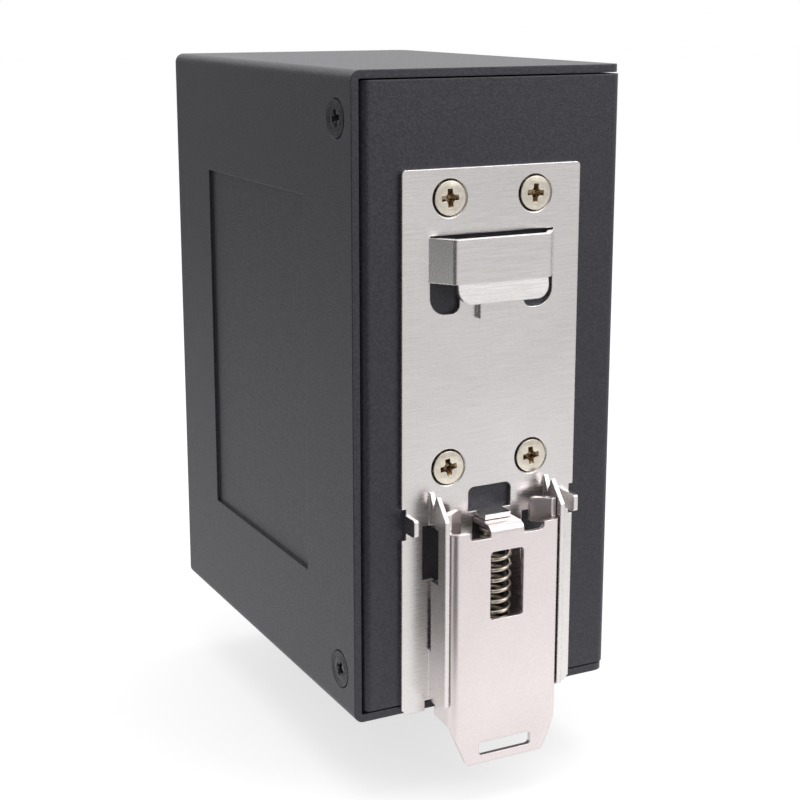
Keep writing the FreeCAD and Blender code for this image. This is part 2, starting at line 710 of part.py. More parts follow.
plate = new_body("plate_sheet_metal")
half_plate = "plate_width / 2"
wall_in = "guide_gap / 2"
wall_out = "guide_gap / 2 + plate_sheet"
tongue_half = "guide_gap / 2 - well_width"
ear_low = "rail_foot - rail_clearance - ear_height"
ear_high = "rail_foot - rail_clearance"
fold_root = "-plate_sheet * 0.9"
pad(plate, "blank", "XZ_Plane", "rear_face", "0", [
    [
        (f"-{half_plate}", "case_foot + plate_chamfer"),
        (f"plate_chamfer - {half_plate}", "case_foot"),
        (f"-({wall_in})", "case_foot"),
        (f"-({wall_in})", "well_top"),
        (f"-({tongue_half})", "well_top"),
        (f"-({tongue_half})", "case_foot"),
        (tongue_half, "case_foot"),
        (tongue_half, "well_top"),
        (wall_in, "well_top"),
        (wall_in, "case_foot"),
        (f"{half_plate} - plate_chamfer", "case_foot"),
        (half_plate, "case_foot + plate_chamfer"),
        (half_plate, "plate_top"),
        (f"-{half_plate}", "plate_top"),
    ],
    # Cut-out left by the bridge hook, around the tongue behind its lip.
    [
        ("-hook_width / 2", "rail_top - cutout_drop"),
        ("-tongue_width / 2", "rail_top - cutout_drop"),
        ("-tongue_width / 2", "rail_top - tongue_gap"),
        ("tongue_width / 2", "rail_top - tongue_gap"),
        ("tongue_width / 2", "rail_top - cutout_drop"),
        ("hook_width / 2", "rail_top - cutout_drop"),
        ("hook_width / 2", "rail_top + hook_height + hook_gap"),
        ("-hook_width / 2", "rail_top + hook_height + hook_gap"),
    ],
    # Window that the stop tab was cut from.
    box_loop(("-window_width / 2", "window_width / 2"),
             ("stop_top", "stop_top + window_height")),
    # Opening behind the spring.
    box_loop(("-spring_well / 2", "spring_well / 2"),
             ("seat_top", "shelf_foot")),
])
round_edges(plate, "plate_corners", 1, [
    (f"-{half_plate}", "plate_top"), (half_plate, "plate_top")], "plate_round")
round_edges(plate, "cutout_corners", 1, [
    ("-hook_width / 2", "rail_top - cutout_drop"),
    ("hook_width / 2", "rail_top - cutout_drop")], "cutout_round")
round_edges(plate, "tongue_corners", 1, [
    ("-tongue_width / 2", "rail_top - cutout_drop"),
    ("tongue_width / 2", "rail_top - cutout_drop")], "(cutout_drop - tongue_gap) / 3")
round_edges(plate, "window_corners", 1, [
    ("-window_width / 2", "stop_top + window_height"),
    ("window_width / 2", "stop_top + window_height")], "window_round")

# Bridge hook: a band that leans in from both sides, then a flared lip.
base_out = "hook_width / 2 + plate_sheet * 0.2"
base_in = "hook_width / 2 - plate_sheet * 0.95"
face_out = "hook_width / 2 - hook_inset"
face_in = "hook_width / 2 - hook_inset - plate_sheet * 0.8"
pad(plate, "bridge", "XY_Plane", "rail_top", "rail_top + hook_height", [[
    (base_out, "rear_face"),
    (base_out, "0"),
    (face_out, "hook_rise"),
    (f"-({face_out})", "hook_rise"),
    (f"-({base_out})", "0"),
    (f"-({base_out})", "rear_face"),
    (f"-({base_in})", "rear_face"),
    (f"-({base_in})", "-plate_sheet * 0.3"),
    (f"-({face_in})", "hook_rise - plate_sheet"),
    (face_in, "hook_rise - plate_sheet"),
    (base_in, "-plate_sheet * 0.3"),
    (base_in, "rear_face"),
]])
round_edges(plate, "bridge_folds", 2, [
    (face_out, "hook_rise"), (f"-({face_out})", "hook_rise")], "hook_fold")
round_edges(plate, "bridge_inner_folds", 2, [
    (face_in, "hook_rise - plate_sheet"), (f"-({face_in})", "hook_rise - plate_sheet")],
    "hook_fold - plate_sheet")
lip_shift = "lip_drop * tan(lip_flare)"
lip_half = f"{face_out} - lip_setback"
lip = new_body("hook_lip")
pad(lip, "lip", "YZ_Plane", f"-({lip_half})", lip_half, [[
    ("hook_rise - plate_sheet", "rail_top + plate_sheet * 0.5"),
    ("hook_rise - plate_sheet", "rail_top"),
    (f"hook_rise - plate_sheet + {lip_shift}", "rail_top - lip_drop"),
    (f"hook_rise + {lip_shift}", "rail_top - lip_drop"),
    ("hook_rise", "rail_top"),
    ("hook_rise", "rail_top + plate_sheet * 0.5"),
]])
round_edges(lip, "lip_corners", 1, [
    (f"-({lip_half})", "rail_top - lip_drop"), (lip_half, "rail_top - lip_drop")], "lip_round")

pad(plate, "bumper", "YZ_Plane", "-bumper_width / 2", "bumper_width / 2", [[
    ("-plate_sheet * 0.5", "rail_top - bumper_drop"),
    ("bumper_rise", "rail_top - bumper_drop"),
    ("bumper_rise", "rail_top - tongue_gap - plate_sheet"),
    ("0", "rail_top - tongue_gap - plate_sheet * 0.4"),
    ("-plate_sheet * 0.5", "rail_top - tongue_gap - plate_sheet * 0.4"),
]])
pad(plate, "stop_tab", "XY_Plane", "stop_foot", "stop_top", [box_loop(
    ("-stop_width / 2", "stop_width / 2"), ("rear_face", "stop_reach"))])
pad(plate, "spring_seat", "XY_Plane", "seat_top - plate_sheet", "seat_top", [box_loop(
    ("-seat_width / 2", "seat_width / 2"), ("rear_face", "seat_reach"))])
for side, word in ((1, "near"), (-1, "far")):
    pad(plate, word + "_wall", "YZ_Plane", *sided(side, wall_in, wall_out), [[
        (fold_root, "case_foot + wall_foot"),
        ("notch_climb + plate_sheet", "case_foot + wall_foot"),
        ("wall_reach", "case_foot + wall_foot + wall_slant"),
        ("wall_reach", "rail_foot + ramp_top - ramp_drop"),
        ("ramp_start", "rail_foot + ramp_top"),
        ("vee_reach", "rail_foot + ramp_top - vee_depth"),
        ("plate_sheet * 0.3", "rail_foot + ramp_top"),
        (fold_root, "rail_foot + ramp_top"),
    ]])
    pad(plate, word + "_ear", "YZ_Plane",
        *sided(side, f"{half_plate} - ear_inset - plate_sheet", f"{half_plate} - ear_inset"),
        [box_loop((fold_root, "ear_reach"), (ear_low, ear_high))])
    round_edges(plate, word + "_ear_corners", 0, [
        ("ear_reach", ear_low), ("ear_reach", ear_high)], "plate_sheet * 0.6")
    pocket(plate, word + "_ear_notch", "XZ_Plane", "rear_face", "0", [
        box_loop(sided(side, f"{half_plate} - ear_inset", f"{half_plate} + {PAST}"),
                 (f"{ear_low} - ear_notch", f"{ear_high} + ear_notch"))])
    pocket(plate, word + "_fold_slot", "XY_Plane", "well_top - slot_height", "well_top", [
        box_loop(sided(side, f"{wall_in} - latch_play", f"{wall_out} + slot_spread"),
                 ("rear_face", "slot_climb"))])
    pocket(plate, word + "_fold_slit", "XY_Plane", "slit_foot", "well_top - slot_height", [
        box_loop(sided(side, f"{wall_in} - latch_play", f"{wall_out} + latch_play"),
                 ("0", "slit_climb"))])
    pocket(plate, word + "_foot_notch", "XY_Plane", "case_foot", "case_foot + notch_depth", [
        box_loop(sided(side, f"{wall_in} - latch_play", f"{wall_out} + notch_spread"),
                 ("rear_face", "notch_climb"))])
pocket(plate, "screw_holes", "XZ_Plane", "rear_face", "0", circles=[
    (across, height, "thread / 2 + screw_play") for across, height in PLATE_SCREWS])
plate_seats = [
    cone(f"plate_seat_{index}", "y",
         (across, f"-({plate_cone})", height),
         "thread / 2", "plate_head / 2 + plate_sink", plate_cone)
    for index, (across, height) in enumerate(PLATE_SCREWS)]
node("din_plate", cut("plate_drilled", fuse("plate_formed", [plate, lip]), plate_seats))

# -------------------------------------------------------------------- latch
# A channel folded from one blank: face with window and pull slot, two
# flanges, a shelf for the spring, an ear and a guide pip on each flange.

latch = new_body("latch_channel")
relief_out = "shelf_width / 2 + relief_width"
pad(latch, "face", "XZ_Plane", "latch_back", "latch_face", [
    [
        ("-tip_width / 2", "latch_tip"),
        ("tip_width / 2", "latch_tip"),
        ("latch_half", "latch_knee"),
        ("latch_half", "latch_top"),
        (relief_out, "latch_top"),
        (relief_out, "latch_top - relief_depth"),
        ("shelf_width / 2", "latch_top - relief_depth"),
        ("shelf_width / 2", "shelf_foot"),
        ("-shelf_width / 2", "shelf_foot"),
        ("-shelf_width / 2", "latch_top - relief_depth"),
        (f"-({relief_out})", "latch_top - relief_depth"),
        (f"-({relief_out})", "latch_top"),
        ("-latch_half", "latch_top"),
        ("-latch_half", "latch_knee"),
    ],
    box_loop(("-view_width / 2", "view_width / 2"),
             ("latch_top - view_drop - view_height", "latch_top - view_drop")),
    box_loop(("-pull_width / 2", "pull_width / 2"),
             ("latch_tip + pull_rise", "latch_tip + pull_rise + pull_height")),
])
round_edges(latch, "tip_corners", 1, [
    ("-tip_width / 2", "latch_tip"), ("tip_width / 2", "latch_tip")], "tip_round")
round_edges(latch, "relief_corners", 1, [
    (across, "latch_top - relief_depth") for across in (relief_out, f"-({relief_out})")],
    "relief_round")
round_edges(latch, "pull_corners", 1, [
    (across, up) for across in ("-pull_width / 2", "pull_width / 2")
    for up in ("latch_tip + pull_rise", "latch_tip + pull_rise + pull_height")],
    "pull_height * 0.3")
round_edges(latch, "view_corners", 1, [
    (across, up) for across in ("-view_width / 2", "view_width / 2")
    for up in ("latch_top - view_drop - view_height", "latch_top - view_drop")], "view_round")
for side, word in ((1, "near"), (-1, "far")):
    pad(latch, word + "_flange", "YZ_Plane",
        *sided(side, "latch_half - plate_sheet", "latch_half"), [[
            ("latch_play", "latch_knee + flange_slope"),
            ("latch_back", "latch_knee + flange_slope / 2"),
            ("latch_face", "latch_knee"),
            ("latch_face", "latch_top"),
            ("slot_climb + plate_play", "latch_top"),
            ("slot_climb + plate_play", "well_top - slot_height - plate_play"),
            ("latch_play", "well_top - slot_height - plate_play"),
        ]])
round_edges(latch, "channel_folds", 2, [
    ("latch_half", "latch_face"), ("-latch_half", "latch_face")], "latch_bend")
round_edges(latch, "channel_inner_folds", 2, [
    ("latch_half - plate_sheet", "latch_back"), ("plate_sheet - latch_half", "latch_back")],
    "latch_bend - plate_sheet")
pad(latch, "shelf", "XY_Plane", "shelf_foot", "shelf_top", [box_loop(
    ("-shelf_width / 2", "shelf_width / 2"), ("plate_play", "latch_face"))])
round_edges(latch, "shelf_fold", 0, [("latch_face", "shelf_top")], "latch_bend * 0.9")
catch_back = "rail_flange + catch_gap"
catch_root = "slot_climb + plate_play + plate_sheet"
for side, word in ((1, "near"), (-1, "far")):
    def across(text, side=side):
        return text if side > 0 else f"-({text})"
    pad(latch, word + "_catch", "XY_Plane", "latch_top - catch_drop",
        "rail_foot + catch_rise", [[
            (across("latch_half"), catch_root),
            (across("latch_half"), f"{catch_root} - plate_sheet * 1.3"),
            (across("latch_half - catch_width"), catch_back),
            (across("latch_half - catch_width"), f"{catch_back} + plate_sheet"),
            (across("latch_half - plate_sheet"), catch_root),
        ]])
    round_edges(latch, word + "_catch_corner", 1, [
        (across("latch_half - catch_width"), "rail_foot + catch_rise")], "catch_round")
    pad(latch, word + "_pip", "XY_Plane", "rail_foot - pip_drop - pip_height",
        "rail_foot - pip_drop", [box_loop(
            sided(side, "latch_half - plate_sheet * 0.5", "latch_half + pip_reach"),
            ("latch_play", "slit_climb - latch_play"))])
node("din_latch", latch)

# ------------------------------------------------------------------- spring
# A plain coil compression spring between the seat and the latch's shelf. Its
# many turns are kept light: twelve straight steps a turn, of six-sided wire.

STEPS_A_TURN = 12
WIRE_SIDES = 6

spring_radius = "(spring_diameter - spring_wire) / 2"
spring_foot = "seat_top + spring_play + spring_wire / 2"
spring_head = "shelf_foot - spring_play - spring_wire / 2"
spring_axis_y = "latch_back - plate_play - spring_diameter / 2"
coil_steps = round(value("spring_turns") * STEPS_A_TURN)
step_rise = value(f"{spring_head} - ({spring_foot})") / coil_steps
step_turn = 2 * math.pi / STEPS_A_TURN
coil = doc.addObject("Part::Feature", "coil")
coil.Shape = Part.makePolygon([
    FreeCAD.Vector(value(spring_radius) * math.cos(step * step_turn),
                   value(spring_radius) * math.sin(step * step_turn),
                   step * step_rise)
    for step in range(coil_steps + 1)])
wire = doc.addObject("Part::RegularPolygon", "wire")
wire.Polygon = WIRE_SIDES
wire.setExpression("Circumradius", bound("spring_wire / 2"))
wire.Placement = FreeCAD.Placement(
    FreeCAD.Vector(value(spring_radius), 0, 0),
    FreeCAD.Rotation(FreeCAD.Vector(1, 0, 0), 90))
wire.setExpression("Placement.Base.x", bound(spring_radius))
spring = doc.addObject("Part::Sweep", "spring_sweep")
spring.Sections = [wire]
spring.Spine = (coil, [f"Edge{number}" for number in range(1, coil_steps + 1)])
spring.Solid = True
spring.Transition = "Right corner"
spring.setExpression("Placement.Base.y", bound(spring_axis_y))
spring.setExpression("Placement.Base.z", bound(spring_foot))
node("latch_spring", spring)

# ------------------------------------------------------------- clinch nuts

nut_parts = []
for index, (across_x, height) in enumerate(PLATE_SCREWS):
    collar = hexagon(f"plate_nut_{index}", "y", (across_x, "rear_inside - nut_height", height),
                     "nut_diameter / 2", "nut_height")
    bore = rod(f"plate_nut_bore_{index}", "y",
               (across_x, f"rear_inside - nut_height - {PAST}", height),
               "thread / 2", f"nut_height + 2 * {PAST}")
    nut_parts.append(cut(f"plate_nut_cut_{index}", collar, [bore]))
for index, height in enumerate(COVER_SCREWS):
    inner = "flange_side - case_sheet - nut_height"
    collar = hexagon(f"cover_nut_{index}", "x", (inner, COVER_SCREW_Y, height),
                     "nut_diameter / 2", "nut_height")
    bore = rod(f"cover_nut_bore_{index}", "x", (f"{inner} - {PAST}", COVER_SCREW_Y, height),
               "thread / 2", f"nut_height + 2 * {PAST}")
    nut_parts.append(cut(f"cover_nut_cut_{index}", collar, [bore]))
node("clinch_nuts", group("nut_group", nut_parts))

# ------------------------------------------- circuit board and its fixings

FRONT_STANDOFFS = ("jack_front + jack_depth + module_gap + magnetics_width"
                   " + board_head / 2 + board_gap_side")
STANDOFFS = [
    (along, height)
    for along in (FRONT_STANDOFFS, "board_rear - standoff_inset")
    for height in ("board_foot + standoff_inset", "board_top - standoff_inset")
]
board_blank = block("board_blank", ("board_back", "board_face"),
                    ("board_front", "board_rear"), ("board_foot", "board_top"))
board_holes = [
    rod(f"board_hole_{index}", "x", (f"board_back - {PAST}", along, height),
        "thread / 2 + screw_play", f"board_sheet + 2 * {PAST}")
    for index, (along, height) in enumerate(STANDOFFS)]
node("circuit_board", cut("board_drilled", board_blank, board_holes))

standoffs = []
for index, (along, height) in enumerate(STANDOFFS):
    pillar = hexagon(f"standoff_{index}", "x", ("far_inside", along, height),
                 "standoff_diameter / 2", "board_gap")
    bore = rod(f"standoff_bore_{index}", "x", ("far_inside + pillar_floor", along, height),
               "thread / 2", "board_gap")
    standoffs.append(cut(f"standoff_cut_{index}", pillar, [bore]))
node("board_standoffs", group("standoff_group", standoffs))

board_screws = []
shank_foot = "pillar_floor + screw_floor"
for index, (along, height) in enumerate(STANDOFFS):
    shank = rod(f"board_shank_{index}", "x", (f"far_inside + {shank_foot}", along, height),
                "thread / 2 - screw_play", f"board_gap + board_sheet - ({shank_foot})")
    head = hexagon(f"board_head_{index}", "x", ("board_face", along, height),
                   "board_head / 2", "board_head_height")
    board_screws.append(fuse(f"board_screw_{index}", [shank, head]))
node("board_screws", group("board_screw_group", board_screws))

# -------------------------------------------------------------- jack block
# Two columns of jacks moulded in one housing, under a thin metal shield.

jack_low_x = "board_face + jack_lift"
jack_rear = "jack_front + jack_depth"
PORTS = [
    (f"{jack_low_x} + column_pitch * ({column} + 0.5)",
     f"jack_foot_z + port_pitch * ({row} + 0.5)")
    for column in range(round(value("port_columns")))
    for row in range(round(value("port_rows")))
]
housing = new_body("jack_housing_moulding")
pad(housing, "housing_block", "XZ_Plane", "jack_front + shield_sheet", jack_rear, [
    box_loop((jack_low_x, "jack_near"), ("jack_foot_z", "jack_top_z"))])
pocket(housing, "ports", "XZ_Plane", "jack_front + shield_sheet", "jack_front + port_depth", [
    box_loop((f"{centre} - port_height / 2", f"{centre} + port_height / 2"),
             (f"{height} - port_width / 2", f"{height} + port_width / 2"))
    for centre, height in PORTS])
pad(housing, "board_pegs", "YZ_Plane", "board_face", f"{jack_low_x} + shield_sheet", [
    box_loop((f"{jack_rear} - peg_inset - peg_depth", f"{jack_rear} - peg_inset"), (low, high))
    for low, high in (("jack_foot_z + peg_inset", "jack_foot_z + peg_inset + peg_length"),
                      ("jack_top_z - peg_inset - peg_length", "jack_top_z - peg_inset"))])
node("jack_housing", housing)

shield = new_body("jack_shield_sheet")
pad(shield, "shield_face", "XZ_Plane", "jack_front", "jack_front + shield_sheet", [
    box_loop((f"{jack_low_x} - shield_sheet", "jack_near + shield_sheet"),
             ("jack_foot_z - shield_sheet", "jack_top_z + shield_sheet")),
] + [
    box_loop((f"{centre} - port_height / 2", f"{centre} + port_height / 2"),
             (f"{height} - port_width / 2", f"{height} + port_width / 2"))
    for centre, height in PORTS])
pad(shield, "shield_sides", "XZ_Plane", "jack_front", jack_rear, [[
    (f"{jack_low_x} - shield_sheet", "jack_foot_z - shield_sheet"),
    ("jack_near + shield_sheet", "jack_foot_z - shield_sheet"),
    ("jack_near + shield_sheet", "jack_top_z + shield_sheet"),
    (f"{jack_low_x} - shield_sheet", "jack_top_z + shield_sheet"),
    (f"{jack_low_x} - shield_sheet", "jack_top_z"),
    ("jack_near", "jack_top_z"),
    ("jack_near", "jack_foot_z"),
    (f"{jack_low_x} - shield_sheet", "jack_foot_z"),
]])
node("jack_shield", shield)

contacts = []
for centre, height in PORTS:
    for wire_index in range(round(value("contact_count"))):
        offset = wire_index - (value("contact_count") - 1) / 2
        contacts.append(Part.makeBox(
            value("contact_width"), value("contact_length"), value("contact_width"),
            FreeCAD.Vector(value(f"{centre} - port_height / 2"),
                           value("jack_front + port_depth - contact_length"),
                           value(f"{height} - contact_width / 2 + contact_pitch * ({offset})"))))
contact_group = doc.addObject("Part::Feature", "contact_group")
contact_group.Shape = Part.makeCompound(contacts)
contact_group.Placement = FreeCAD.Placement()
node("jack_contacts", contact_group)

# ----------------------------------------------------------- power terminal
# A shrouded header soldered to the board, and the plug that pulls out of it.

header_shell = block("header_shell", ("board_face", "header_near"),
                     ("header_front", "header_front + header_depth"),
                     ("header_foot", "header_top"))
header_cavity = block("header_cavity",
                      ("board_face + header_wall", "header_near - header_wall"),
                      (f"header_front - {PAST}", "plug_rear + plug_play"),
                      ("header_foot + header_wall", "header_top - header_wall"))
node("terminal_header", cut("header_cut", header_shell, [header_cavity]))

POLES = [
    f"header_foot + header_wall + pole_pitch * ({pole} + 0.5)"
    for pole in range(round(value("pole_count")))
]
plug_low_x = "board_face + header_wall + plug_play"
plug_high_x = "header_near - header_wall - plug_play"
plug_mid_x = f"({plug_low_x} + {plug_high_x}) / 2"
plug = new_body("terminal_plug_moulding")
pad(plug, "plug_block", "YZ_Plane", plug_low_x, plug_high_x, [box_loop(
    ("plug_front", "plug_rear"),
    ("header_foot + header_wall + plug_play", "header_top - header_wall - plug_play"))])
pocket(plug, "wire_entries", "XZ_Plane", "plug_front", "plug_front + wire_depth", [
    box_loop((f"{plug_mid_x} - wire_width / 2", f"{plug_mid_x} + wire_width / 2"),
             (f"{height} - wire_width / 2", f"{height} + wire_width / 2"))
    for height in POLES])
pocket(plug, "screw_wells", "YZ_Plane", f"{plug_high_x} - clamp_depth", plug_high_x, circles=[
    ("plug_front + wire_depth / 2", height, "clamp_screw / 2 + plug_play")
    for height in POLES])
node("terminal_plug", plug)

clamp_screws = [
    rod(f"clamp_screw_{index}", "x",
        (f"{plug_high_x} - clamp_depth", "plug_front + wire_depth / 2", height),
        "clamp_screw / 2", "clamp_depth - plug_play")
    for index, height in enumerate(POLES)]
node("terminal_screws", group("clamp_group", clamp_screws))

# ------------------------------------------------------------- light guides
# Clear bars moulded on a common block, standing on the board's face.

bar_rear = "header_front + header_depth + bar_gap + bar_depth"
bar = block("guide_bar", ("board_face", f"{GUIDE_COLUMNS[1]} + guide_width / 2"),
            (f"{bar_rear} - bar_depth", bar_rear),
            ("header_foot + header_wall", "header_foot + header_wall + guide_pitch * guide_rows"))
guides = [
    block(f"light_guide_{index}",
          (f"{across_x} - guide_width / 2", f"{across_x} + guide_width / 2"),
          ("front_face - guide_proud", f"{bar_rear} - bar_depth / 2"),
          (f"{up} - guide_height / 2", f"{up} + guide_height / 2"))
    for index, (across_x, up) in enumerate(GUIDE_SPOTS)]
node("light_pipes", fuse("guide_comb", [bar] + guides))

# ------------------------------------------------- parts soldered to board

chip_y = "(jack_front + jack_depth + board_rear) / 2"
chip_z = "(board_foot + board_top) / 2 - chip_drop"
node("switch_chip", block("chip", ("board_face", "board_face + chip_height"),
                          (f"{chip_y} - chip_size / 2", f"{chip_y} + chip_size / 2"),
                          (f"{chip_z} - chip_size / 2", f"{chip_z} + chip_size / 2")))

sink_low = "board_face + chip_height"
sink_parts = [block("sink_plate", (sink_low, f"{sink_low} + sink_base"),
                    (f"{chip_y} - chip_size / 2", f"{chip_y} + chip_size / 2"),
                    (f"{chip_z} - chip_size / 2", f"{chip_z} + chip_size / 2"))]
for fin in range(round(value("fin_count"))):
    fin_z = (f"{chip_z} - chip_size / 2 + "
             f"(chip_size - fin_sheet) * {fin} / (fin_count - 1)")
    sink_parts.append(block(f"fin_{fin}", (sink_low, f"{sink_low} + sink_height"),
                            (f"{chip_y} - chip_size / 2", f"{chip_y} + chip_size / 2"),
                            (fin_z, f"{fin_z} + fin_sheet")))
node("heat_sink", fuse("sink_comb", sink_parts))

magnetics_y = f"{jack_rear} + module_gap"
modules = [
    block(f"magnetics_{row}", ("board_face", "board_face + magnetics_height"),
          (magnetics_y, f"{magnetics_y} + magnetics_width"),
          (f"jack_foot_z + port_pitch * ({row} + 0.5) - magnetics_length / 2",
           f"jack_foot_z + port_pitch * ({row} + 0.5) + magnetics_length / 2"))
    for row in range(round(value("port_rows")))]
node("magnetics", group("magnetics_group", modules))

inductor_y = "board_rear - inductor_inset"
inductor_foot = f"{chip_z} + chip_size / 2 + inductor_rise"
inductor = new_body("inductor_core")
pad(inductor, "core", "YZ_Plane", "board_face", "board_face + inductor_height", [box_loop(
    (f"{inductor_y} - inductor_size", inductor_y),
    (inductor_foot, f"{inductor_foot} + inductor_size"))])
node("power_inductor", inductor)

capacitor_z = f"{inductor_foot} + inductor_size + capacitor_rise"
cans = [
    rod(f"capacitor_{index}", "x",
        ("board_face", f"board_rear - capacitor_inset - capacitor_pitch * {index}", capacitor_z),
        "capacitor_diameter / 2", "capacitor_height")
    for index in range(2)]
node("capacitors", group("capacitor_group", cans))

crystal_low_z = f"{chip_z} - chip_size / 2 - crystal_gap - crystal_width"
crystal = new_body("crystal_can")
pad(crystal, "can", "YZ_Plane", "board_face", "board_face + crystal_height", [box_loop(
    (f"{chip_y} - crystal_length / 2", f"{chip_y} + crystal_length / 2"),
    (crystal_low_z, f"{crystal_low_z} + crystal_width"))])
round_edges(crystal, "can_ends", 0, [
    (f"{chip_y} {sign} crystal_length / 2", up)
    for sign in "+-" for up in (crystal_low_z, f"{crystal_low_z} + crystal_width")],
    "crystal_round")
node("clock_crystal", crystal)

# ------------------------------------------------------------ check, export

doc.recompute()
for item in doc.Objects:
    if "Invalid" in item.State or "Error" in item.State:
        raise RuntimeError(f"{item.Name} failed: {item.State}")
for piece in NODES:
    if piece.Shape.isNull() or not piece.Shape.isValid():
        raise RuntimeError(f"{piece.Label} has no valid shape")

os.makedirs("parts", exist_ok=True)
for piece in NODES:
    piece.Shape.exportStep(f"parts/{piece.Label}.step")
    print(f"{piece.Label}: {len(piece.Shape.Solids)} solids, {piece.Shape.Volume:.1f} mm3")
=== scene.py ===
import math

import bpy
from mathutils import Matrix, Vector


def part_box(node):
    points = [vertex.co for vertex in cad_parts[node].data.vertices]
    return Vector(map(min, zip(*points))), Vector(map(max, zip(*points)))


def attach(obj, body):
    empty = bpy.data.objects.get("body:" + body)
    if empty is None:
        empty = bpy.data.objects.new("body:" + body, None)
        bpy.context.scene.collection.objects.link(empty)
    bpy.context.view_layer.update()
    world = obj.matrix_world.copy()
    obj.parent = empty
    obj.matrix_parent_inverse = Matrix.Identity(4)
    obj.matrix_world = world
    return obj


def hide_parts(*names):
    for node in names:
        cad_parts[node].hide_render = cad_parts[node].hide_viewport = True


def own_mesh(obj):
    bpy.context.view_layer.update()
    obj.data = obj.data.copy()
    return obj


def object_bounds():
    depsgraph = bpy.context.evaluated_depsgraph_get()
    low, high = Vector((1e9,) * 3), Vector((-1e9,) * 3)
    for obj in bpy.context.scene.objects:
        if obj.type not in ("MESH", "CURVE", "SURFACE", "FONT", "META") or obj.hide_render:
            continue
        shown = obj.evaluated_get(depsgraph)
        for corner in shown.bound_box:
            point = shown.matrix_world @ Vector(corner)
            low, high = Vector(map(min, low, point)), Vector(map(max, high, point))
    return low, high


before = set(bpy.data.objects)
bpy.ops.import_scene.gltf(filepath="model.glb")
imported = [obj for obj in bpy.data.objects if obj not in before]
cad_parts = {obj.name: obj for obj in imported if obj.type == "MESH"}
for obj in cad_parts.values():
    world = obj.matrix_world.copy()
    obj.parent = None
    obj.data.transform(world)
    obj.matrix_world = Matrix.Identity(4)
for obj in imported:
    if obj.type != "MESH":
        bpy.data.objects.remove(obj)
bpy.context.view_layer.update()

# ---------------------------------------------------------------- the case
# Chassis and cover are folded steel sheet, sprayed with a black powder that
# bakes to a fine, slightly pebbled skin. Both sheets come from one spray line,
# so they share one finish, a touch greyer where the powder lies thick.

SPECKLE_SIZE = 0.00032
PEBBLE_SIZE = 0.00028
PEBBLE_HEIGHT = 0.00008
PAINTED_EDGE = 0.0003
THIN_POWDER = (0.014, 0.013, 0.017)
THICK_POWDER = (0.034, 0.033, 0.042)


def new_material(name, color, roughness, metallic=0.0):
    """A material with a principled shader, its plain values on the shader itself."""
    material = bpy.data.materials.new(name)
    material.use_nodes = True
    shader = material.node_tree.nodes["Principled BSDF"]
    shader.inputs["Base Color"].default_value = (*color, 1.0)
    shader.inputs["Roughness"].default_value = roughness
    shader.inputs["Metallic"].default_value = metallic
    return material, material.node_tree, shader


def object_noise(tree, scale, detail=2.0, stretch=(1.0, 1.0, 1.0)):
    """A noise pattern fixed to the piece; scale is in cells a metre."""
    place = tree.nodes.new("ShaderNodeTexCoord")
    mapping = tree.nodes.new("ShaderNodeMapping")
    mapping.inputs["Scale"].default_value = stretch
    noise = tree.nodes.new("ShaderNodeTexNoise")
    noise.inputs["Scale"].default_value = scale
    noise.inputs["Detail"].default_value = detail
    tree.links.new(place.outputs["Object"], mapping.inputs["Vector"])
    tree.links.new(mapping.outputs["Vector"], noise.inputs["Vector"])
    return noise.outputs["Fac"]


def color_from(tree, shader, source, low, high, start, end):
    """A colour that runs from one to the other as the pattern rises."""
    ramp = tree.nodes.new("ShaderNodeValToRGB")
    ramp.color_ramp.elements[0].position = start
    ramp.color_ramp.elements[0].color = (*low, 1.0)
    ramp.color_ramp.elements[1].position = end
    ramp.color_ramp.elements[1].color = (*high, 1.0)
    tree.links.new(source, ramp.inputs["Fac"])
    tree.links.new(ramp.outputs["Color"], shader.inputs["Base Color"])


def range_of(tree, source, low, high):
    """The source's 0 to 1 stretched to a new range."""
    span = tree.nodes.new("ShaderNodeMapRange")
    span.inputs["To Min"].default_value = low
    span.inputs["To Max"].default_value = high
    tree.links.new(source, span.inputs["Value"])
    return span.outputs["Result"]


def gloss_from(tree, shader, source, shiny, dull):
    """Roughness that runs from shiny to dull as the pattern rises."""
    tree.links.new(range_of(tree, source, shiny, dull), shader.inputs["Roughness"])


def bump_from(tree, shader, source, strength, height, edge=None):
    """Surface relief from a pattern, over edges worn to a radius if one is given."""
    bump = tree.nodes.new("ShaderNodeBump")
    bump.inputs["Strength"].default_value = strength
    bump.inputs["Distance"].default_value = height
    tree.links.new(source, bump.inputs["Height"])
    if edge is not None:
        rounding = tree.nodes.new("ShaderNodeBevel")
        rounding.samples = 6
        rounding.inputs["Radius"].default_value = edge
        tree.links.new(rounding.outputs["Normal"], bump.inputs["Normal"])
    tree.links.new(bump.outputs["Normal"], shader.inputs["Normal"])


powder_coat, powder_tree, powder_shader = new_material("powder_coat", (0.05, 0.048, 0.058), 0.5)
powder_shader.inputs["Specular IOR Level"].default_value = 0.66
powder_shader.inputs["Specular Tint"].default_value = (0.93, 0.92, 1.0, 1.0)
speckle = object_noise(powder_tree, 1 / SPECKLE_SIZE, 3.0)
color_from(powder_tree, powder_shader, speckle, THIN_POWDER, THICK_POWDER, 0.38, 0.66)
pebble = object_noise(powder_tree, 1 / PEBBLE_SIZE, 2.0)
gloss_from(powder_tree, powder_shader, pebble, 0.26, 0.52)
bump_from(powder_tree, powder_shader, pebble, 0.8, PEBBLE_HEIGHT, PAINTED_EDGE)


def finish_node(name, material):
    """Give a CAD node a finish in place of its plain one."""
    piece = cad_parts[name]
    piece.data.materials.clear()
    piece.data.materials.append(material)


finish_node("chassis", powder_coat)
finish_node("cover", powder_coat)

# ---------------------------------------------------------- cover's screws
# Two countersunk steel screws with a cross recess, cold-formed and turned, then
# blackened so that they disappear in the case. The head keeps its turning rings.

